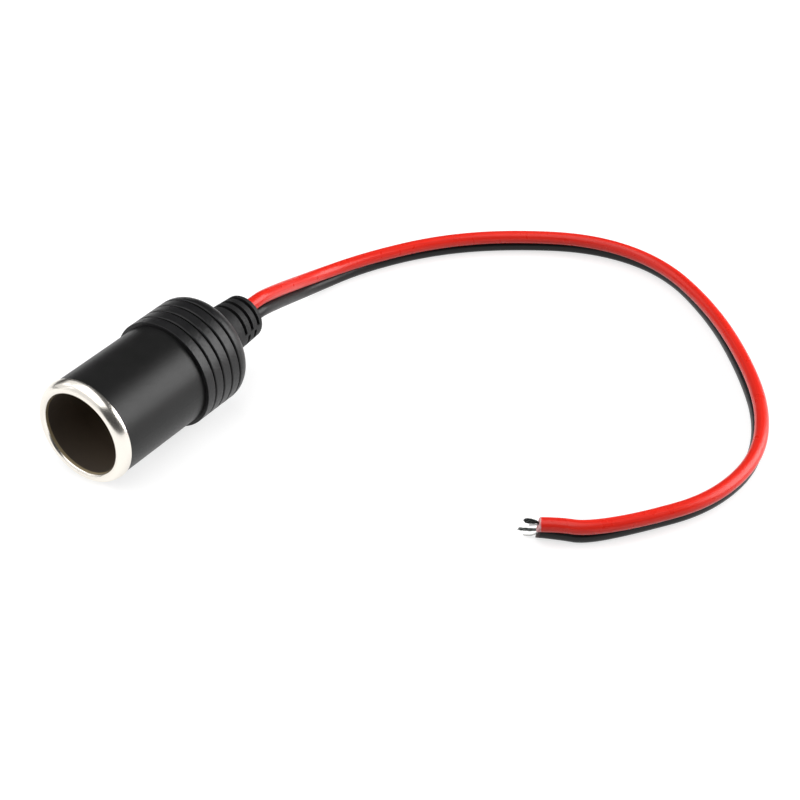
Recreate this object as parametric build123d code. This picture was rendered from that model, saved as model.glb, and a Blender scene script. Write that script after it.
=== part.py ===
from build123d import *
import math
import os

# Car 12 V power socket with a short twin lead, in millimetres, lying on its side.
# The plug bore runs along Y: its mouth looks to -Y and the lead leaves to +Y. +Z is up.
# The origin is on the bore's axis where the straight bore wall begins, inside the rolled lip.

# Contact barrel, drawn from sheet with a rolled lip
BORE_D = 21.0
BORE_DEPTH = 37.5
BASE_STEP = 0.5
BASE_DEPTH = 4.5
BASE_SLOPE = 45
SHEET = 0.5
FLOOR_CORNER = 1.2
LIP_ROLL = 0.3
LIP_RISE = 0.4
LIP_SKIRT = 1.9
LIP_PROUD = 0.3

# Moulded sleeve round the barrel
SLEEVE_WALL = 1.95
SLEEVE_LEDGE = 2.45
LEDGE_THICKNESS = 1.2
FIT = 0.05

# Soft boot moulded on the sleeve's rear end: ringed collar, shoulder and neck
BOOT_GRIP = 10.5
COLLAR_WALL = 1.0
COLLAR_FRONT_ROUND = 0.1
FIRST_BAND = 2.86
GROOVE_COUNT = 4
GROOVE_PITCH = 3.05
GROOVE_WIDTH = 0.4
GROOVE_DRAFT = 0.05
GROOVE_DEPTH = 0.55
GROOVE_ROUND = 0.3
SHOULDER_LEAD = 0.11
SHOULDER_RADIUS = 4.3
KEY_WIDTH = 2.0
KEY_DEPTH = 0.6
KEY_INSET = 3.0
NECK_LENGTH = 14.6
NECK_ROOT_D = 13.3
NECK_END_D = 11.5
NECK_FILLET = 1.2
NECK_END_ROUND = 0.5
SLOT_COUNT = 3
SLOT_PITCH = 2.65
SLOT_WIDTH = 1.0
SLOT_END_BAND = 1.8
SLOT_BRIDGE = 0.7
SLOT_CORE_WALL = 0.6

# Riveted contact stack at the bottom of the bore
INSULATOR_THICKNESS = 2.5
INSULATOR_GAP = 0.15
BOSS_D = 6.0
REAR_WASHER_GAP = 0.1
REAR_WASHER_THICKNESS = 1.2
CONTACT_HEAD_D = 6.8
CONTACT_HEAD_HEIGHT = 1.6
CONTACT_SHANK_D = 2.6
CONTACT_TAIL_HEIGHT = 1.0
TAIL_WASHER_THICKNESS = 0.4
TAIL_SET_IN = 0.15
NEGATIVE_SHANK_D = 2.0
NEGATIVE_HEAD_D = 3.4
NEGATIVE_HEAD_HEIGHT = 0.7
RIVET_ROUND_SHARE = 0.6

# Crimped ring terminals
TERMINAL_SHEET = 0.4
POSITIVE_RING_D = 6.4
NEGATIVE_RING_D = 3.8
STRIP_WIDTH = 2.2
STRIP_BEND = 0.6
CRIMP_GAP = 0.8
CRIMP_LENGTH = 4.0
CRIMP_SLIT = 0.3
CRIMP_TO_INSULATION = 0.5

# Twin lead
WIRE_D = 3.4
WIRE_PITCH = 3.5
CONDUCTOR_D = 1.4
WEB_SLOT = 1.2
EXIT_LEAN = 0.0
EXIT_RUN = 8.5
FLOOR_GAP = 0.05
RED_TAIL = 3.2
RED_TAIL_D = 1.0
BLACK_TAIL = 4.6
BLACK_TAIL_D = 0.6
ARC_SHARE = 0.45

# Free part of the lead's route, chosen by hand: x and y of the red wire, the height of the
# black wire above the floor, and how far the black wire leans to the inside of the loop.
FREE_ROUTE = [
    (-5.2, 95.5, 0.4, -8),
    (0.3, 112.2, FLOOR_GAP, -26),
    (11.0, 130.2, FLOOR_GAP, -26),
    (25.8, 144.0, FLOOR_GAP, -24),
    (46.3, 155.5, FLOOR_GAP, -29),
    (67.4, 155.0, FLOOR_GAP, -33),
    (88.4, 142.0, FLOOR_GAP, -17),
    (106.1, 125.4, FLOOR_GAP, -1),
    (120.0, 107.8, FLOOR_GAP, 5),
    (127.2, 89.5, FLOOR_GAP, 16),
    (125.5, 70.4, FLOOR_GAP, 26),
    (115.9, 55.2, FLOOR_GAP, 30),
    (107.2, 44.9, FLOOR_GAP, 22),
    (97.3, 41.3, FLOOR_GAP, 16),
]

# Radii, from the bore outwards
bore_r = BORE_D / 2
barrel_r = bore_r + SHEET
base_r = bore_r - BASE_STEP
sleeve_in = barrel_r + FIT
sleeve_r = sleeve_in + SLEEVE_WALL
lip_r = sleeve_r + LIP_PROUD
crest_r = barrel_r + LIP_ROLL
collar_r = sleeve_r + COLLAR_WALL
pocket_r = sleeve_r + FIT
ledge_r = sleeve_in - SLEEVE_LEDGE
wire_r = WIRE_D / 2
conductor_r = CONDUCTOR_D / 2
crimp_in = conductor_r + FIT
crimp_out = crimp_in + TERMINAL_SHEET
strip_reach = WIRE_PITCH / 2 + crimp_in + TERMINAL_SHEET / 2
tail_washer_r = strip_reach - STRIP_BEND - FIT
lead_hole_r = wire_r + FIT
slot_core_r = WIRE_PITCH / 2 + lead_hole_r + SLOT_CORE_WALL
neck_hold_r = WIRE_PITCH / 2 + crimp_out + SLOT_CORE_WALL
boss_hole_r = BOSS_D / 2 + FIT
shank_hole_r = CONTACT_SHANK_D / 2 + FIT
negative_hole_r = NEGATIVE_SHANK_D / 2 + FIT

# Places along Y, from the mouth to the lead
base_start = BORE_DEPTH - BASE_DEPTH
floor_back = BORE_DEPTH + SHEET
insulator_front = BORE_DEPTH - INSULATOR_THICKNESS
ledge_front = floor_back + FIT
sleeve_end = ledge_front + LEDGE_THICKNESS
rear_washer_end = floor_back + REAR_WASHER_THICKNESS
positive_end = rear_washer_end + TERMINAL_SHEET
tail_washer_end = positive_end + TAIL_WASHER_THICKNESS
contact_end = tail_washer_end + CONTACT_TAIL_HEIGHT
negative_end = floor_back + TERMINAL_SHEET
crimp_start = contact_end + CRIMP_GAP
crimp_end = crimp_start + CRIMP_LENGTH
lead_start = crimp_end + CRIMP_TO_INSULATION
boot_front = sleeve_end - BOOT_GRIP
last_groove = boot_front + FIRST_BAND + (GROOVE_COUNT - 1) * GROOVE_PITCH
shoulder_start = last_groove + GROOVE_WIDTH / 2 + GROOVE_ROUND + SHOULDER_LEAD
boot_back = shoulder_start + SHOULDER_RADIUS
neck_end = boot_back + NECK_LENGTH
table_z = -collar_r

# Directions of the two wires across the axis, the reach of the rivet inside the sleeve's ledge,
# and the negative strip's rise between that rivet and the rear washer
lean = math.radians(EXIT_LEAN)
black_angle = lean - math.pi / 2
red_angle = black_angle + math.pi
rivet_reach = ledge_r - NEGATIVE_RING_D / 2 - FIT
strip_rise = rivet_reach - NEGATIVE_HEAD_D / 2 - STRIP_BEND - FIT
rear_washer_r = strip_rise - TERMINAL_SHEET / 2 - REAR_WASHER_GAP


def across(angle, reach, y):
    """Point at a reach from the bore's axis, in a direction across it."""
    return Vector(reach * math.cos(angle), y, reach * math.sin(angle))


def rod(radius, start, end, angle=0.0, reach=0.0):
    """Round bar along Y."""
    plane = Plane(across(angle, reach, start), x_dir=(1, 0, 0), z_dir=(0, 1, 0))
    return extrude(plane * Circle(radius), end - start)


def turned(outline, rounds=()):
    """Piece turned about the bore's axis from corners (radius, y), with some corners rounded."""
    face = make_face(Polyline(*outline, close=True))
    for corner, radius in rounds:
        face = fillet(face.vertices().sort_by_distance(corner)[0], radius)
    return revolve(face, Axis.Y)


def lip_curves(layer):
    """The rolled lip's tight inner and wide outer curve, a layer's thickness outside the roll's hollow."""
    inner = EllipticalCenterArc((crest_r, 0), LIP_ROLL + layer, LIP_RISE + layer, 180, arc_size=90)
    outer = EllipticalCenterArc((crest_r, LIP_SKIRT), lip_r - SHEET - crest_r + layer,
                                LIP_SKIRT + LIP_RISE + layer, 270, arc_size=90)
    return inner, outer


def contact_barrel():
    """Drawn cup that carries the negative pole: rolled lip, straight bore, narrowed base, holed floor."""
    step = BASE_STEP / math.tan(math.radians(BASE_SLOPE))
    back_start = base_start + SHEET * math.tan(math.radians(BASE_SLOPE / 2))
    bore_side = Polyline((boss_hole_r, BORE_DEPTH), (base_r, BORE_DEPTH), (base_r, base_start + step),
                         (bore_r, base_start), (bore_r, 0))
    rim = Line((lip_r, LIP_SKIRT), (lip_r - SHEET, LIP_SKIRT))
    back = Polyline((barrel_r, 0), (barrel_r, back_start), (base_r + SHEET, back_start + step),
                    (base_r + SHEET, floor_back), (boss_hole_r, floor_back), (boss_hole_r, BORE_DEPTH))
    face = make_face([*bore_side.edges(), *lip_curves(SHEET), rim, *lip_curves(0), *back.edges()])
    for corner, radius in (((base_r, BORE_DEPTH), FLOOR_CORNER),
                           ((base_r + SHEET, floor_back), FLOOR_CORNER + SHEET)):
        face = fillet(face.vertices().sort_by_distance(corner)[0], radius)
    cup = revolve(face, Axis.Y)
    return cup - rod(negative_hole_r, insulator_front, sleeve_end, black_angle, rivet_reach)


def body_sleeve():
    """Moulded tube: round nose in the lip, key groove under the boot, ledge behind the floor."""
    nose_r = lip_r - SHEET - FIT
    shoulder = LIP_SKIRT + FIT
    wall = Polyline((nose_r, LIP_SKIRT), (nose_r, shoulder), (sleeve_r, shoulder), (sleeve_r, sleeve_end),
                    (ledge_r, sleeve_end), (ledge_r, ledge_front), (sleeve_in, ledge_front), (sleeve_in, 0))
    tube = revolve(make_face([*lip_curves(-FIT), *wall.edges()]), Axis.Y)
    key_start = sleeve_end - KEY_INSET - KEY_WIDTH
    groove = rod(collar_r, key_start, key_start + KEY_WIDTH)
    groove -= rod(sleeve_r - KEY_DEPTH, key_start, key_start + KEY_WIDTH)
    return tube - groove


def boot_outside():
    """Collar with narrow ring grooves and a round shoulder, then the strain relief's tapered neck."""
    root_r = NECK_ROOT_D / 2
    end_r = NECK_END_D / 2
    bottom_r = collar_r - GROOVE_DEPTH
    outline = [(0, boot_front), (collar_r, boot_front)]
    rounds = [((collar_r, boot_front), COLLAR_FRONT_ROUND), ((collar_r, boot_back), SHOULDER_RADIUS),
              ((root_r, boot_back), NECK_FILLET), ((end_r, neck_end), NECK_END_ROUND)]
    for i in range(GROOVE_COUNT):
        near = last_groove - (GROOVE_COUNT - 1 - i) * GROOVE_PITCH - GROOVE_WIDTH / 2
        far = near + GROOVE_WIDTH
        near_edge = (collar_r, near)
        far_edge = (collar_r, far)
        outline += [near_edge, (bottom_r, near + GROOVE_DRAFT), (bottom_r, far - GROOVE_DRAFT), far_edge]
        rounds += [(near_edge, GROOVE_ROUND), (far_edge, GROOVE_ROUND)]
    outline += [(collar_r, boot_back), (root_r, boot_back), (end_r, neck_end), (0, neck_end)]
    return turned(outline, rounds)


def neck_slots():
    """Flex slots cut from above, and from below half a pitch further on, down to a round core."""
    slots = []
    reach = NECK_ROOT_D
    for i in range(2 * SLOT_COUNT - 1):
        y = neck_end - SLOT_END_BAND - i * SLOT_PITCH / 2
        ring = rod(reach, y - SLOT_WIDTH / 2, y + SLOT_WIDTH / 2)
        ring -= rod(slot_core_r, y - SLOT_WIDTH / 2, y + SLOT_WIDTH / 2)
        side = 1 if i % 2 == 0 else -1
        half = Pos(0, y, side * (reach + SLOT_BRIDGE / 2)) * Box(4 * reach, 2 * SLOT_WIDTH, 2 * reach)
        slots.append(ring & half)
    return slots


def rear_boot():
    """Boot with its pocket for the sleeve, room for the terminals and the lead's passage."""
    key_start = sleeve_end - KEY_INSET - KEY_WIDTH + FIT
    key_end = sleeve_end - KEY_INSET - FIT
    pocket = rod(pocket_r, boot_front, sleeve_end + FIT)
    key = rod(collar_r, key_start, key_end) - rod(sleeve_r - KEY_DEPTH + FIT, key_start, key_end)
    chamber = turned([(0, sleeve_end), (ledge_r, sleeve_end), (neck_hold_r, contact_end + CRIMP_GAP),
                      (neck_hold_r, lead_start), (0, lead_start)])
    passage = rod(lead_hole_r, lead_start, neck_end, red_angle, WIRE_PITCH / 2)
    passage += rod(lead_hole_r, lead_start, neck_end, black_angle, WIRE_PITCH / 2)
    middle = Plane(across(0, 0, lead_start), x_dir=across(black_angle, 1, 0), z_dir=(0, 1, 0))
    passage += extrude(middle * Rectangle(WIRE_PITCH, WEB_SLOT), neck_end - lead_start)
    boot = boot_outside() - (pocket - key) - chamber - passage
    for slot in neck_slots():
        boot -= slot
    return boot


def base_insulator():
    """Moulded disc at the bottom of the bore, with a boss through the barrel's floor."""
    edge_r = base_r - INSULATOR_GAP
    disc = turned(
        [(shank_hole_r, insulator_front), (edge_r, insulator_front), (edge_r, BORE_DEPTH),
         (BOSS_D / 2, BORE_DEPTH), (BOSS_D / 2, floor_back), (shank_hole_r, floor_back)],
        [((edge_r, BORE_DEPTH), FLOOR_CORNER)])
    pocket_start = BORE_DEPTH - NEGATIVE_HEAD_HEIGHT - FIT
    return disc - rod(NEGATIVE_HEAD_D / 2 + FIT, pocket_start, BORE_DEPTH, black_angle, rivet_reach)


def washer(inner_r, outer_r, start, end):
    """Flat ring on the bore's axis."""
    return rod(outer_r, start, end) - rod(inner_r, start, end)


def rivet(head_r, head_height, shank_r, tail_r, tail_height, seat, clinch):
    """Rivet along Y: domed head before the seat, shank, and spread tail behind the clinch."""
    head_front = seat - head_height
    tail_back = clinch + tail_height
    return turned(
        [(0, head_front), (head_r, head_front), (head_r, seat), (shank_r, seat), (shank_r, clinch),
         (tail_r, clinch), (tail_r, tail_back), (0, tail_back)],
        [((head_r, head_front), RIVET_ROUND_SHARE * head_height),
         ((tail_r, tail_back), RIVET_ROUND_SHARE * tail_height)])


def centre_contact():
    """Positive contact: rivet through the insulators, ring terminal and washer."""
    return rivet(CONTACT_HEAD_D / 2, CONTACT_HEAD_HEIGHT, CONTACT_SHANK_D / 2,
                 tail_washer_r - TAIL_SET_IN, CONTACT_TAIL_HEIGHT, insulator_front, tail_washer_end)


def negative_rivet():
    """Rivet that holds the negative terminal to the barrel's floor."""
    head_r = NEGATIVE_HEAD_D / 2
    pin = rivet(head_r, NEGATIVE_HEAD_HEIGHT, NEGATIVE_SHANK_D / 2, head_r, NEGATIVE_HEAD_HEIGHT,
                BORE_DEPTH, negative_end)
    return Pos(across(black_angle, rivet_reach, 0)) * pin


def ring_terminal(angle, ring_reach, ring_r, hole_r, start, bend_points):
    """Ring, bent strip and closed crimp from one blank; the strip lies in the plane of the wire."""
    end = start + TERMINAL_SHEET
    plane = Plane((0, 0, 0), x_dir=across(angle, 1, 0), z_dir=across(angle + math.pi / 2, 1, 0))
    strip = trace(FilletPolyline(*bend_points, radius=STRIP_BEND), TERMINAL_SHEET)
    blank = extrude(plane * strip, STRIP_WIDTH / 2, both=True)
    blank += rod(ring_r, start, end, angle, ring_reach)
    blank -= rod(hole_r, start, end, angle, ring_reach)
    blank += rod(crimp_out, crimp_start, crimp_end, angle, WIRE_PITCH / 2)
    blank -= rod(crimp_in, crimp_start, crimp_end, angle, WIRE_PITCH / 2)
    seam = Plane(across(angle, WIRE_PITCH / 2 - crimp_out, crimp_start), x_dir=across(angle, 1, 0),
                 z_dir=(0, 1, 0))
    return blank - extrude(seam * Rectangle(crimp_out, CRIMP_SLIT), CRIMP_LENGTH)


def positive_terminal():
    """Ring terminal under the centre contact's tail."""
    level = rear_washer_end + TERMINAL_SHEET / 2
    bends = [(shank_hole_r + FIT, level), (strip_reach, level), (strip_reach, crimp_end)]
    return ring_terminal(red_angle, 0, POSITIVE_RING_D / 2, shank_hole_r, rear_washer_end, bends)


def negative_terminal():
    """Ring terminal on the barrel's floor, its strip set over the washer towards the black wire."""
    level = floor_back + TERMINAL_SHEET / 2
    bends = [(rivet_reach - negative_hole_r - FIT, level), (strip_rise, level), (strip_rise, positive_end),
             (strip_reach, crimp_start), (strip_reach, crimp_end)]
    return ring_terminal(black_angle, rivet_reach, NEGATIVE_RING_D / 2, negative_hole_r, floor_back, bends)


def lead_routes():
    """Corner points of the red and the black wire's routes, from the crimps to the cut ends."""
    exit_x = -WIRE_PITCH / 2 * math.sin(lean)
    exit_lift = collar_r - wire_r - WIRE_PITCH / 2 * math.cos(lean)
    route = [(exit_x, lead_start, exit_lift, EXIT_LEAN),
             (exit_x, neck_end + EXIT_RUN, exit_lift, EXIT_LEAN), *FREE_ROUTE]
    headings = []
    slopes = []
    for here, there in zip(route, route[1:]):
        step_x = there[0] - here[0]
        step_y = there[1] - here[1]
        headings.append(math.atan2(step_y, step_x))
        slopes.append(math.atan2(there[2] - here[2], math.hypot(step_x, step_y)))
    red = []
    black = []
    for i, (x, y, lift, tilt) in enumerate(route):
        before = max(i - 1, 0)
        after = min(i, len(headings) - 1)
        heading = (headings[before] + headings[after]) / 2
        slope = (slopes[before] + slopes[after]) / 2
        rise = WIRE_PITCH * math.cos(math.radians(tilt))
        shift = WIRE_PITCH * math.sin(math.radians(tilt))
        aside = shift / math.cos((headings[after] - headings[before]) / 2)
        below = rise / math.cos((slopes[after] - slopes[before]) / 2)
        back = below * math.sin(slope)
        red.append(Vector(x, y, table_z + lift + wire_r + rise))
        black.append(red[-1] + Vector(aside * math.sin(heading) + back * math.cos(heading),
                                      back * math.sin(heading) - aside * math.cos(heading),
                                      -below * math.cos(slope)))
    return red, black


def lead_path(points):
    """Straight runs joined by tangent arcs, each as large as its two runs allow."""
    radii = []
    for before, here, after in zip(points, points[1:], points[2:]):
        turn = (here - before).get_angle(after - here)
        shorter = min((here - before).length, (after - here).length)
        radii.append(ARC_SHARE * shorter / math.tan(math.radians(turn / 2)))
    print("bend radii", [round(radius, 1) for radius in radii])
    return FilletPolyline(*points, radius=radii)


def insulation(path):
    """Plain tube of one wire's insulation."""
    section = Circle(wire_r) - Circle(conductor_r)
    tube = sweep(Plane(path @ 0, z_dir=path % 0) * section, path)
    print("length", round(path.length, 1), "volume", round(tube.volume, 1),
          "section times length", round(section.area * path.length, 1))
    return tube


def conductor(path, tail, tail_d):
    """Stranded core of one wire as a plain bar, from inside its crimp to the twisted bare tail."""
    core = sweep(Plane(path @ 0, z_dir=path % 0) * Circle(conductor_r), path)
    inner = extrude(Plane(path @ 0, z_dir=path % 0) * Circle(conductor_r), -(lead_start - crimp_start))
    outer = extrude(Plane(path @ 1, z_dir=path % 1) * Circle(tail_d / 2), tail)
    return core + inner + outer


red_route, black_route = lead_routes()
red_path = lead_path(red_route)
black_path = lead_path(black_route)

nodes = {
    "contact_barrel": contact_barrel(),
    "body_sleeve": body_sleeve(),
    "rear_boot": rear_boot(),
    "base_insulator": base_insulator(),
    "rear_insulating_washer": washer(shank_hole_r, rear_washer_r, floor_back, rear_washer_end),
    "centre_contact": centre_contact(),
    "tail_washer": washer(shank_hole_r, tail_washer_r, positive_end, tail_washer_end),
    "positive_terminal": positive_terminal(),
    "negative_terminal": negative_terminal(),
    "negative_rivet": negative_rivet(),
    "red_wire": insulation(red_path),
    "red_conductor": conductor(red_path, RED_TAIL, RED_TAIL_D),
    "black_wire": insulation(black_path),
    "black_conductor": conductor(black_path, BLACK_TAIL, BLACK_TAIL_D),
}

os.makedirs("parts", exist_ok=True)
for name, solid in nodes.items():
    export_step(solid, f"parts/{name}.step")
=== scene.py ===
import math
from collections import namedtuple

import bmesh
import bpy
from mathutils import Matrix, Vector


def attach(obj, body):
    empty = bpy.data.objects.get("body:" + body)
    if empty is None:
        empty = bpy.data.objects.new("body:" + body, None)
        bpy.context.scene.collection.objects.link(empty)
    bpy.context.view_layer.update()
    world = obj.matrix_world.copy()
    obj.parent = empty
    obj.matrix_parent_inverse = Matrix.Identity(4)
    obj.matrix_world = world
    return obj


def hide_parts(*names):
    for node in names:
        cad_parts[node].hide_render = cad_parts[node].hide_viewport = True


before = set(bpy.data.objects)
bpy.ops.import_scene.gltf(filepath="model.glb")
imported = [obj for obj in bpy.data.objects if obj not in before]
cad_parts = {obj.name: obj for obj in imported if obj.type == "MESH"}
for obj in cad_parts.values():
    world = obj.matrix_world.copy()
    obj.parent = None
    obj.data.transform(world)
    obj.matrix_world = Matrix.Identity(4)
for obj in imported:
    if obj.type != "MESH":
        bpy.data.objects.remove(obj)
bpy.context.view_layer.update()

# Metres, in the part's own frame: the bore's axis is Y, its mouth looks to -Y, and +Z is up.
MM = 0.001
UP = Vector((0, 0, 1))

# Socket, as far as looks and leads need it
COLLAR_RADIUS = 14.0 * MM
BORE_RADIUS = 10.5 * MM
NECK_END = 60.27 * MM
TABLE_Z = -COLLAR_RADIUS

# Twin lead
WIRE_RADIUS = 1.7 * MM
WIRE_PITCH = 3.5 * MM
CORE_RADIUS = 0.7 * MM
CORE_HOLE_RADIUS = 0.75 * MM
CRIMPED_LENGTH = 4.5 * MM
WEB_HALF_WIDTH = 0.5 * MM
WEB_HALF_SEAM = 0.01 * MM
LEAD_START = 46.3 * MM
EXIT_LEAN = 0.0
EXIT_STRAIGHT = 3.4 * MM
EXIT_RUN = 8.5 * MM
CUT_SLANT = 0.3
WIRE_SIDES = 26
CORE_SIDES = 10
SPLINE_STEPS = 14
SHARP_DEGREES = 40

# Free part of the route, in millimetres as in the part's source: x and y of the red wire, the height
# of the black wire above the floor, and the black wire's lean to the inside of the loop in degrees.
# The last three points differ from the part's, for the small kink that the photograph shows there.
FLOOR_GAP = 0.05
FREE_ROUTE = [
    (-5.2, 95.5, 0.4, -8),
    (0.3, 112.2, FLOOR_GAP, -26),
    (11.0, 130.2, FLOOR_GAP, -26),
    (25.8, 144.0, FLOOR_GAP, -24),
    (46.3, 155.5, FLOOR_GAP, -29),
    (67.4, 155.0, FLOOR_GAP, -33),
    (88.4, 142.0, FLOOR_GAP, -17),
    (106.1, 125.4, FLOOR_GAP, -1),
    (120.0, 107.8, FLOOR_GAP, 5),
    (127.2, 89.5, FLOOR_GAP, 16),
    (125.5, 70.4, FLOOR_GAP, 26),
    (115.9, 55.2, FLOOR_GAP, 30),
    (107.2, 44.9, FLOOR_GAP, 20),
    (101.6, 42.9, FLOOR_GAP, 22),
    (97.5, 40.5, FLOOR_GAP, 30),
]

# Places of the materials on a wire and on a core; on a core, the first is the tinned strand metal
# darkened as painted shade, the second is the tin's own pale tone
CUT = 1
SHADED_TIN = 0
PALE = 1

# Bare strands of the cores, in millimetres. The middle of a strand's bundle lies above the wire's
# middle by lift at the insulation and by lift and rise at the tip. Root, belly and tip are the
# strand's distances from there at its start, half-way and at its end. Angle is in degrees.
Strand = namedtuple("Strand", "length radius lift rise angle root belly tip turns kind",
                    defaults=(0.0, 0.0, 0.0, 0.0, 0.0, SHADED_TIN))
RED_COUNT = 7
RED_BUNDLE = Strand(length=3.3, radius=0.17, lift=0.42, rise=0.68,
                    root=0.09, belly=0.40, tip=0.34, turns=0.7)
RED_OTHERS = [
    Strand(length=3.1, radius=0.2, lift=0.42, rise=0.68, belly=0.02, tip=0.02),
    Strand(length=2.2, radius=0.13, lift=0.0, rise=-0.2, kind=PALE),
]
BLACK_COUNT = 5
BLACK_BUNDLE = Strand(length=4.6, radius=0.15, lift=0.25, rise=-0.45,
                      root=0.17, belly=0.22, tip=0.2, turns=1.1)
BLACK_OTHERS = [
    Strand(length=4.4, radius=0.12, lift=0.25, rise=-0.45, angle=30,
           root=0.1, belly=0.3, tip=0.3, turns=1.1, kind=PALE),
    Strand(length=3.3, radius=0.17, lift=0.0, rise=-0.2, angle=235,
           root=0.5, belly=1.0, tip=1.15, kind=PALE),
]
STRAND_INSIDE = 1.2
STRAND_TIP_SHARE = 0.55
STRAND_STEPS = 18
STRAND_SIDES = 8

# Uneven lengths in a bundle: the shortest share of its length, the step to the next, and how many
SHORTEST_SHARE = 0.92
SHARE_STEP = 0.04
SHARE_COUNT = 3

# Camera, from the photograph's viewing angle
CAMERA_EYE = (264.88 * MM, -259.27 * MM, 265.43 * MM)
CAMERA_AZIMUTH = 34.31
CAMERA_ELEVATION = 35.16
CAMERA_LENS = 88.78
CAMERA_NEAR = 0.01
CAMERA_FAR = 100

# Floor: its own grey, and how much it glows from near the object to farther out
FLOOR_RADIUS = 40.0
FLOOR_SIDES = 96
FLOOR_GREY = (0.45, 0.45, 0.45)
GLOW_REACH = (0.3, 1.2)
GLOW_LEVEL = (0.68, 1.0)

# Studio: soft boxes with the direction towards each, its distance, width, height and watts
SURROUND = (0.06, 0.06, 0.06, 1)
LIT_PLACE = Vector((45 * MM, 60 * MM, 0))
SOFT_BOXES = [
    ("right_rear_box", (0.64, 0.66, 0.40), 0.7, 0.65, 0.55, 6.6),
    ("front_left_box", (-0.34, -0.67, 0.66), 0.8, 0.9, 0.9, 2.0),
    ("front_left_strip", (-0.45, -0.87, 0.12), 0.8, 0.9, 0.17, 0.45),
    ("left_box", (-0.71, 0.03, 0.70), 0.8, 0.55, 0.6, 0.95),
    ("low_left_box", (-0.88, -0.30, 0.36), 0.8, 0.5, 0.45, 0.55),
    ("top_box", (-0.1, -0.22, 1.0), 0.9, 1.15, 0.8, 5.4),
]

# Materials: the range that a noise mostly keeps to, where along the axis a finish changes, and where
# the painted shade inside the bore starts and how it lightens deeper in
NOISE_RANGE = (0.3, 0.7)
NECK_DULLING = (45 * MM, 50 * MM)
PLATING_EDGE = (BORE_RADIUS, BORE_RADIUS + 0.1 * MM)
# Painted shade inside the bore: it sets in between these depths behind the mouth, then runs from
# darkest near the front to lighter deeper in
BORE_SHADE_ONSET = (0.3 * MM, 0.7 * MM)
WALL_SHADE_DEPTH = (1.0 * MM, 20 * MM)


def direction(azimuth, elevation):
    """Unit vector from the object towards a viewer at these angles in degrees."""
    a = math.radians(azimuth)
    e = math.radians(elevation)
    return Vector((math.sin(a) * math.cos(e), -math.cos(a) * math.cos(e), math.sin(e)))


def make_camera():
    """Camera at the photograph's place, with no shift and no depth of field."""
    data = bpy.data.cameras.new("camera")
    data.lens = CAMERA_LENS
    data.clip_start = CAMERA_NEAR
    data.clip_end = CAMERA_FAR
    camera = bpy.data.objects.new("camera", data)
    bpy.context.scene.collection.objects.link(camera)
    back = direction(CAMERA_AZIMUTH, CAMERA_ELEVATION)
    right = UP.cross(back).normalized()
    up = back.cross(right)
    turn = Matrix((right, up, back)).transposed().to_4x4()
    camera.matrix_world = Matrix.Translation(CAMERA_EYE) @ turn
    bpy.context.scene.camera = camera


def lead_routes():
    """Route points of the red and the black wire, in metres, worked out as in the part's source.

    One point more than there keeps the smooth line straight as it leaves the neck.
    """
    lean = math.radians(EXIT_LEAN)
    exit_x = -WIRE_PITCH / 2 * math.sin(lean)
    exit_lift = COLLAR_RADIUS - WIRE_RADIUS - WIRE_PITCH / 2 * math.cos(lean)
    route = [(exit_x, y, exit_lift, EXIT_LEAN)
             for y in (LEAD_START, NECK_END + EXIT_STRAIGHT, NECK_END + EXIT_RUN)]
    route += [(x * MM, y * MM, lift * MM, tilt) for x, y, lift, tilt in FREE_ROUTE]
    headings = []
    slopes = []
    for here, there in zip(route, route[1:]):
        step_x = there[0] - here[0]
        step_y = there[1] - here[1]
        headings.append(math.atan2(step_y, step_x))
        slopes.append(math.atan2(there[2] - here[2], math.hypot(step_x, step_y)))
    red = []
    black = []
    for i, (x, y, lift, tilt) in enumerate(route):
        before = max(i - 1, 0)
        after = min(i, len(headings) - 1)
        heading = (headings[before] + headings[after]) / 2
        slope = (slopes[before] + slopes[after]) / 2
        rise = WIRE_PITCH * math.cos(math.radians(tilt))
        shift = WIRE_PITCH * math.sin(math.radians(tilt))
        aside = shift / math.cos((headings[after] - headings[before]) / 2)
        below = rise / math.cos((slopes[after] - slopes[before]) / 2)
        back = below * math.sin(slope)
        red.append(Vector((x, y, TABLE_Z + lift + WIRE_RADIUS + rise)))
        black.append(red[-1] + Vector((aside * math.sin(heading) + back * math.cos(heading),
                                       back * math.sin(heading) - aside * math.cos(heading),
                                       -below * math.cos(slope))))
    return red, black


def spline_points(name, route):
    """Points read from the smooth spline that has the route's points as its control points."""
    data = bpy.data.curves.new(name, "CURVE")
    data.dimensions = "3D"
    data.resolution_u = SPLINE_STEPS
    spline = data.splines.new("NURBS")
    spline.points.add(len(route) - 1)
    for point, place in zip(spline.points, route):
        point.co = (*place, 1)
    spline.order_u = 3
    spline.use_endpoint_u = True
    curve = bpy.data.objects.new(name, data)
    bpy.context.scene.collection.objects.link(curve)
    bpy.context.view_layer.update()
    line = bpy.data.meshes.new_from_object(curve)
    points = [v.co.copy() for v in line.vertices]
    bpy.data.meshes.remove(line)
    bpy.data.objects.remove(curve)
    return points


def tangents(points):
    """Unit direction of the line at each of its points."""
    last = len(points) - 1
    return [(points[min(i + 1, last)] - points[max(i - 1, 0)]).normalized() for i in range(last + 1)]


def run_lengths(points):
    """Distance along the line at each of its points."""
    distances = [0.0]
    for here, there in zip(points, points[1:]):
        distances.append(distances[-1] + (there - here).length)
    return distances


def new_piece(name, builder, materials):
    """Object from a bmesh, smooth apart from sharp edges, with its materials, riding on the body."""
    mesh = bpy.data.meshes.new(name)
    builder.to_mesh(mesh)
    builder.free()
    for polygon in mesh.polygons:
        polygon.use_smooth = True
    mesh.set_sharp_from_angle(angle=math.radians(SHARP_DEGREES))
    for material in materials:
        mesh.materials.append(material)
    piece = bpy.data.objects.new(name, mesh)
    bpy.context.scene.collection.objects.link(piece)
    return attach(piece, "root")


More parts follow.
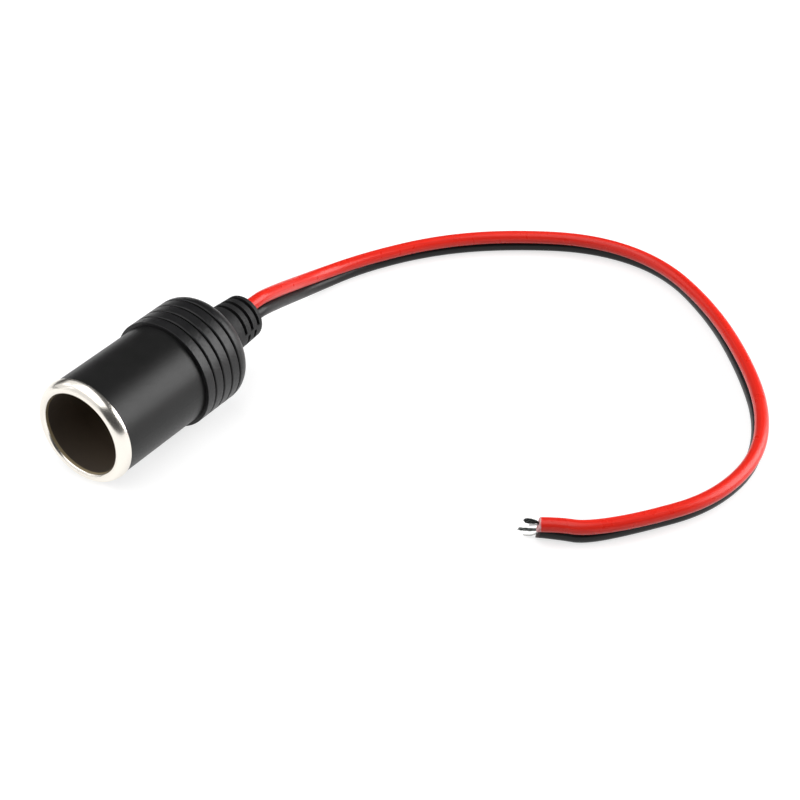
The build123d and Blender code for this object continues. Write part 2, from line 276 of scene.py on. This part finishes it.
def skin(builder, rings, distances, material=0, last_material=0, inward=False):
    """Faces through rings of points, with u round the rings and v along them in metres.

    The last band of faces may have another material. Returns the rings of vertices.
    """
    layer = builder.loops.layers.uv.get("along") or builder.loops.layers.uv.new("along")
    count = len(rings[0])
    placed = [[builder.verts.new(point) for point in ring] for ring in rings]
    for k in range(len(placed) - 1):
        for i in range(count):
            corners = [(i, k), (i + 1, k), (i + 1, k + 1), (i, k + 1)]
            if inward:
                corners.reverse()
            face = builder.faces.new([placed[v][u % count] for u, v in corners])
            face.material_index = last_material if k == len(placed) - 2 else material
            for loop, (u, v) in zip(face.loops, corners):
                loop[layer].uv = (u / count, distances[v])
    return placed


def bar(builder, rings, distances, material=0):
    """Closed bar through rings of points."""
    placed = skin(builder, rings, distances, material, material)
    builder.faces.new(placed[0][::-1]).material_index = material
    builder.faces.new(placed[-1]).material_index = material


def wire_section():
    """Outline of one wire in its own plane: round, with half of the web that bonds it to the other."""
    edge = math.asin(WEB_HALF_WIDTH / WIRE_RADIUS)
    middle = WIRE_PITCH / 2 - WEB_HALF_SEAM
    section = [(middle, -WEB_HALF_WIDTH), (middle, WEB_HALF_WIDTH)]
    for i in range(WIRE_SIDES):
        angle = edge + (2 * math.pi - 2 * edge) * i / (WIRE_SIDES - 1)
        section.append((WIRE_RADIUS * math.cos(angle), WIRE_RADIUS * math.sin(angle)))
    return section


def make_wire(name, points, others, materials):
    """Insulation of one wire: a tube with its bonding web, cut aslant and whitened at the free end."""
    builder = bmesh.new()
    section = wire_section()
    outside = []
    inside = []
    for point, other, along in zip(points, others, tangents(points)):
        aside = other - point
        aside = (aside - along * aside.dot(along)).normalized()
        across = along.cross(aside)
        spokes = [aside * x + across * y for x, y in section]
        outside.append([point + spoke for spoke in spokes])
        inside.append([point + spoke.normalized() * CORE_HOLE_RADIUS for spoke in spokes])
    end = points[-1]
    end_along = tangents(points)[-1]
    for rings in (outside, inside):
        rings[-1] = [place - end_along * (CUT_SLANT * (place.z - end.z)) for place in rings[-1]]
    distances = run_lengths(points)
    outer = skin(builder, outside, distances, last_material=CUT)
    inner = skin(builder, inside, distances, last_material=CUT, inward=True)
    count = len(section)
    for i in range(count):
        j = (i + 1) % count
        builder.faces.new((outer[0][j], outer[0][i], inner[0][i], inner[0][j]))
        face = builder.faces.new((outer[-1][i], outer[-1][j], inner[-1][j], inner[-1][i]))
        face.material_index = CUT
    return new_piece(name, builder, materials)


def tube_rings(points, radii, sides):
    """Round rings along a line, all turned the same way."""
    rings = []
    for point, radius, along in zip(points, radii, tangents(points)):
        aside = along.cross(UP).normalized()
        across = along.cross(aside)
        rings.append([point + (aside * math.cos(a) + across * math.sin(a)) * radius
                      for a in (2 * math.pi * i / sides for i in range(sides))])
    return rings


def twisted(count, strand):
    """Strands of one twisted bundle, all like this one but not all cut to the same length."""
    shares = [SHORTEST_SHARE + SHARE_STEP * (i % SHARE_COUNT) for i in range(count)]
    return [strand._replace(angle=360 * i / count, length=strand.length * share)
            for i, share in enumerate(shares)]


def strand_line(strand, end, along):
    """Middle line of one strand, from a little inside the insulation's end to the strand's tip."""
    aside = along.cross(UP).normalized()
    above = aside.cross(along)
    line = []
    for i in range(STRAND_STEPS + 1):
        share = i / STRAND_STEPS
        reach = share * (strand.length + STRAND_INSIDE) - STRAND_INSIDE
        free = max(reach, 0.0) / strand.length
        belly = (strand.belly - strand.root) * math.sin(math.pi * min(free, 1.0))
        spread = strand.root + belly + (strand.tip - strand.root) * free ** 2
        turn = math.radians(strand.angle) + 2 * math.pi * strand.turns * share
        offset = aside * math.cos(turn) + above * math.sin(turn)
        lifted = strand.lift + strand.rise * math.sqrt(free)
        line.append(end + (along * reach + offset * spread + above * lifted) * MM)
    return line


def make_strands(name, points, strands, materials):
    """Stranded core of one wire: a bar from the crimp along the insulation, then its bare strands."""
    builder = bmesh.new()
    core = [points[0] - Vector((0, CRIMPED_LENGTH, 0)), *points[:-2]]
    bar(builder, tube_rings(core, [CORE_RADIUS] * len(core), CORE_SIDES), run_lengths(core))
    along = tangents(points)[-1]
    for strand in strands:
        line = strand_line(strand, points[-1], along)
        radius = strand.radius * MM
        radii = [radius] * STRAND_STEPS + [STRAND_TIP_SHARE * radius]
        bar(builder, tube_rings(line, radii, STRAND_SIDES), run_lengths(line), strand.kind)
    return new_piece(name, builder, materials)


def add_node(tree, kind, inputs=None, **settings):
    """Shader node with its settings, and with each input either a number or another node's output."""
    made = tree.nodes.new(kind)
    for key, value in settings.items():
        setattr(made, key, value)
    for key, value in (inputs or {}).items():
        if isinstance(value, bpy.types.NodeSocket):
            tree.links.new(value, made.inputs[key])
        else:
            made.inputs[key].default_value = value
    return made


def new_material(name, colour, roughness, metallic=0.0, specular=0.5):
    """Principled material to which the others add their detail; returns material, tree and shader."""
    material = bpy.data.materials.new(name)
    material.use_nodes = True
    tree = material.node_tree
    shader = tree.nodes["Principled BSDF"]
    shader.inputs["Base Color"].default_value = (*colour, 1)
    shader.inputs["Roughness"].default_value = roughness
    shader.inputs["Metallic"].default_value = metallic
    shader.inputs["Specular IOR Level"].default_value = specular
    return material, tree, shader


def ramp(tree, factor, *stops):
    """Colour output of a ramp with these (place, colour) stops, driven by a factor."""
    made = add_node(tree, "ShaderNodeValToRGB", {"Fac": factor})
    band = made.color_ramp
    while len(band.elements) < len(stops):
        band.elements.new(0.5)
    for element, (place, colour) in zip(band.elements, stops):
        element.position = place
        element.color = (*colour, 1)
    return made.outputs["Color"]


def span(tree, value, source, target):
    """Output of a map from one range of values to another, each a pair of ends."""
    made = add_node(tree, "ShaderNodeMapRange", {
        "Value": value, "From Min": source[0], "From Max": source[1],
        "To Min": target[0], "To Max": target[1]})
    return made.outputs["Result"]


def combined(tree, operation, first, second):
    """Output of a math node with two values."""
    made = add_node(tree, "ShaderNodeMath", {0: first, 1: second}, operation=operation)
    return made.outputs["Value"]


def places(tree, scale=(1, 1, 1), source="Object"):
    """Texture coordinates in metres times a scale for each direction."""
    where = add_node(tree, "ShaderNodeTexCoord")
    mapping = add_node(tree, "ShaderNodeMapping", {"Vector": where.outputs[source], "Scale": scale})
    return mapping.outputs["Vector"]


def length(tree, vector):
    """Output of the length of a vector."""
    return add_node(tree, "ShaderNodeVectorMath", {0: vector}, operation="LENGTH").outputs["Value"]


def depth(tree):
    """Output of the place along the bore's axis."""
    return add_node(tree, "ShaderNodeSeparateXYZ", {"Vector": places(tree)}).outputs["Y"]


def noise(tree, vector, scale, detail=3.0):
    """Grey output of a noise texture."""
    made = add_node(tree, "ShaderNodeTexNoise", {"Vector": vector, "Scale": scale, "Detail": detail,
                                                 "Roughness": 0.55})
    return made.outputs["Fac"]


def bumped(tree, shader, height, strength, distance):
    """Puts a bump on a shader."""
    bump = add_node(tree, "ShaderNodeBump", {"Height": height, "Strength": strength,
                                             "Distance": distance})
    tree.links.new(bump.outputs["Normal"], shader.inputs["Normal"])


def moulded_material(name, dark, light, roughness, grain, bump, specular, neck_dull=0.0):
    """Black moulded plastic: cloudy tone, fine grain in gloss and height, duller on the neck."""
    material, tree, shader = new_material(name, dark, roughness[0], specular=specular)
    vector = places(tree)
    cloud = noise(tree, vector, scale=160.0)
    fine = noise(tree, vector, scale=grain, detail=2.0)
    tree.links.new(ramp(tree, cloud, (0.3, dark), (0.7, light)), shader.inputs["Base Color"])
    gloss = span(tree, fine, NOISE_RANGE, roughness)
    dulled = span(tree, depth(tree), NECK_DULLING, (0.0, neck_dull))
    tree.links.new(combined(tree, "ADD", gloss, dulled), shader.inputs["Roughness"])
    bumped(tree, shader, fine, strength=bump, distance=0.06 * MM)
    return material


def pvc_material(name, dark, light, roughness, specular):
    """Extruded insulation: long fine draw lines, small gloss changes and a slightly wavy skin."""
    material, tree, shader = new_material(name, dark, roughness[0], specular=specular)
    streaks = noise(tree, places(tree, (30, 40, 1), "UV"), scale=1.0, detail=1.0)
    ripple = noise(tree, places(tree, (3, 260, 1), "UV"), scale=1.0, detail=2.0)
    tree.links.new(ramp(tree, streaks, (0.3, dark), (0.7, light)), shader.inputs["Base Color"])
    tree.links.new(span(tree, ripple, NOISE_RANGE, roughness), shader.inputs["Roughness"])
    bumped(tree, shader, streaks, strength=0.05, distance=0.04 * MM)
    return material


def metal_material(name, dark, light, roughness, grain):
    """Sheet or turned metal: soft stains and short scratches in its gloss."""
    material, tree, shader = new_material(name, light, roughness[0], metallic=1.0)
    stain = noise(tree, places(tree), scale=220.0)
    scratch = noise(tree, places(tree, (1, 0.15, 1)), scale=grain, detail=2.0)
    tree.links.new(ramp(tree, stain, (0.3, dark), (0.65, light)), shader.inputs["Base Color"])
    tree.links.new(span(tree, scratch, NOISE_RANGE, roughness), shader.inputs["Roughness"])
    bumped(tree, shader, scratch, strength=0.08, distance=0.02 * MM)
    return material


def barrel_material():
    """Bright plating on the rolled lip; inside the bore a dull finish coloured with painted shade,
    dark brown just behind the mouth and lighter deeper in; rings from drawing the cup.
    """
    plating = (0.86, 0.82, 0.75)
    # Painted shade colours for the inside of the bore, from just behind the lip to the back
    shaded_lip_inside = (0.34, 0.27, 0.16)
    shaded_wall_front = (0.056, 0.042, 0.030)
    shaded_wall_middle = (0.115, 0.085, 0.058)
    shaded_wall_back = (0.32, 0.235, 0.165)
    material, tree, shader = new_material("nickel_and_bore_shade", plating, 0.22, metallic=1.0)
    outward = span(tree, length(tree, places(tree, (1, 0, 1))), PLATING_EDGE, (0.0, 1.0))
    inward = depth(tree)
    # Painted shade: it starts just inside the mouth, darkest near the front and lighter deeper in
    shade_onset = span(tree, inward, BORE_SHADE_ONSET, (0.65, 0.0))
    wall_shade = span(tree, inward, WALL_SHADE_DEPTH, (0.4, 0.0))
    tone = combined(tree, "MAXIMUM", wall_shade, combined(tree, "MAXIMUM", outward, shade_onset))
    colour = ramp(tree, tone, (0.0, shaded_wall_back), (0.2, shaded_wall_middle), (0.4, shaded_wall_front),
                  (0.65, shaded_lip_inside), (0.95, plating))
    tree.links.new(colour, shader.inputs["Base Color"])
    tree.links.new(outward, shader.inputs["Metallic"])
    tree.links.new(span(tree, outward, (0.0, 1.0), (0.65, 0.22)), shader.inputs["Roughness"])
    rings = noise(tree, places(tree, (0.05, 1, 0.05)), scale=2600.0, detail=2.0)
    bumped(tree, shader, rings, strength=0.05, distance=0.03 * MM)
    return material


def phenolic_material():
    """Pressed phenolic: brown with darker flecks."""
    dark = (0.05, 0.028, 0.016)
    light = (0.13, 0.075, 0.042)
    material, tree, shader = new_material("phenolic_brown", light, 0.5)
    flecks = noise(tree, places(tree), scale=1500.0, detail=4.0)
    tree.links.new(ramp(tree, flecks, (0.35, dark), (0.6, light)), shader.inputs["Base Color"])
    bumped(tree, shader, flecks, strength=0.15, distance=0.03 * MM)
    return material


def cut_material(name, dark, light):
    """Cut face of the insulation: pale, torn and matt."""
    material, tree, shader = new_material(name, light, 0.7)
    torn = noise(tree, places(tree), scale=1800.0, detail=4.0)
    tree.links.new(ramp(tree, torn, (0.3, dark), (0.65, light)), shader.inputs["Base Color"])
    bumped(tree, shader, torn, strength=0.5, distance=0.1 * MM)
    return material


def make_floor():
    """Pale floor that shows white, with the object's soft shadow; farther out, where the boxes light
    it less, it glows more."""
    builder = bmesh.new()
    bmesh.ops.create_circle(builder, cap_ends=True, segments=FLOOR_SIDES, radius=FLOOR_RADIUS)
    mesh = bpy.data.meshes.new("floor")
    builder.to_mesh(mesh)
    builder.free()
    floor = bpy.data.objects.new("floor", mesh)
    floor.location.z = TABLE_Z
    bpy.context.scene.collection.objects.link(floor)
    material, tree, shader = new_material("floor_white", FLOOR_GREY, 0.9, specular=0.0)
    rays = add_node(tree, "ShaderNodeLightPath").outputs
    seen = combined(tree, "ADD", rays["Is Camera Ray"], rays["Is Glossy Ray"])
    seen = combined(tree, "ADD", seen, rays["Is Transmission Ray"])
    level = span(tree, length(tree, places(tree)), GLOW_REACH, GLOW_LEVEL)
    tree.links.new(combined(tree, "MULTIPLY", seen, level), shader.inputs["Emission Strength"])
    shader.inputs["Emission Color"].default_value = (1, 1, 1, 1)
    mesh.materials.append(material)


def make_lights():
    """Soft boxes and a dim even surround."""
    world = bpy.data.worlds.new("surround")
    bpy.context.scene.world = world
    world.use_nodes = True
    world.node_tree.nodes["Background"].inputs["Color"].default_value = SURROUND
    for name, toward, distance, width, height, power in SOFT_BOXES:
        data = bpy.data.lights.new(name, "AREA")
        data.shape = "RECTANGLE"
        data.size = width
        data.size_y = height
        data.energy = power
        lamp = bpy.data.objects.new(name, data)
        away = Vector(toward).normalized()
        lamp.location = LIT_PLACE + away * distance
        lamp.rotation_mode = "QUATERNION"
        lamp.rotation_quaternion = (-away).to_track_quat("-Z", "Y")
        lamp.visible_camera = False
        bpy.context.scene.collection.objects.link(lamp)


def finish_nodes():
    """Gives each carried-over node its material."""
    sleeve = moulded_material("sleeve_black", dark=(0.004, 0.004, 0.004), light=(0.007, 0.007, 0.007),
                              roughness=(0.36, 0.46), grain=2500.0, bump=0.03, specular=0.3)
    boot = moulded_material("boot_black", dark=(0.005, 0.005, 0.0055), light=(0.010, 0.010, 0.0105),
                            roughness=(0.32, 0.45), grain=2000.0, bump=0.9, specular=0.33,
                            neck_dull=0.23)
    nickel_and_bore_shade = barrel_material()
    brass = metal_material("contact_brass", dark=(0.50, 0.34, 0.12), light=(0.72, 0.52, 0.22),
                           roughness=(0.25, 0.4), grain=1800.0)
    terminal = metal_material("terminal_brass", dark=(0.52, 0.40, 0.20), light=(0.70, 0.56, 0.30),
                              roughness=(0.28, 0.42), grain=1800.0)
    steel = metal_material("washer_steel", dark=(0.42, 0.42, 0.43), light=(0.60, 0.60, 0.61),
                           roughness=(0.25, 0.4), grain=1800.0)
    phenolic = phenolic_material()
    for node, material in (
            ("contact_barrel", nickel_and_bore_shade), ("body_sleeve", sleeve), ("rear_boot", boot),
            ("base_insulator", phenolic), ("rear_insulating_washer", phenolic),
            ("centre_contact", brass), ("negative_rivet", steel), ("positive_terminal", terminal),
            ("negative_terminal", terminal), ("tail_washer", steel)):
        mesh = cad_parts[node].data
        mesh.materials.clear()
        mesh.materials.append(material)


def make_lead():
    """Twin lead from the crimps to its bare ends."""
    red_pvc = pvc_material("red_pvc", dark=(0.67, 0.017, 0.009), light=(0.79, 0.026, 0.014),
                           roughness=(0.25, 0.36), specular=0.3)
    black_pvc = pvc_material("black_pvc", dark=(0.004, 0.004, 0.0045), light=(0.008, 0.008, 0.0085),
                             roughness=(0.30, 0.42), specular=0.28)
    red_cut = cut_material("red_cut", dark=(0.62, 0.16, 0.16), light=(0.85, 0.55, 0.55))
    black_cut = cut_material("black_cut", dark=(0.02, 0.02, 0.02), light=(0.12, 0.08, 0.08))
    # Two copies of one tinned strand metal: the first is darkened as painted shade, the second keeps
    # the tin's own pale tone
    tin = [metal_material("strand_shaded", dark=(0.03, 0.033, 0.032), light=(0.12, 0.13, 0.125),
                          roughness=(0.3, 0.5), grain=3000.0),
           metal_material("strand_pale", dark=(0.35, 0.35, 0.34), light=(0.62, 0.62, 0.60),
                          roughness=(0.3, 0.5), grain=3000.0)]
    red_route, black_route = lead_routes()
    red_points = spline_points("red_line", red_route)
    black_points = spline_points("black_line", black_route)
    red_lead = make_wire("red_lead", red_points, black_points, [red_pvc, red_cut])
    black_lead = make_wire("black_lead", black_points, red_points, [black_pvc, black_cut])
    red_strands = make_strands("red_strands", red_points,
                               twisted(RED_COUNT, RED_BUNDLE) + RED_OTHERS, tin)
    black_strands = make_strands("black_strands", black_points,
                                 twisted(BLACK_COUNT, BLACK_BUNDLE) + BLACK_OTHERS, tin)
    for lead, strands, points, colour in ((red_lead, red_strands, red_points, "red"),
                                          (black_lead, black_strands, black_points, "black")):
        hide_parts(f"{colour}_wire")
        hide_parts(f"{colour}_conductor")


make_camera()
make_floor()
make_lights()
finish_nodes()
make_lead()

bpy.context.scene.view_settings.view_transform = "Standard"
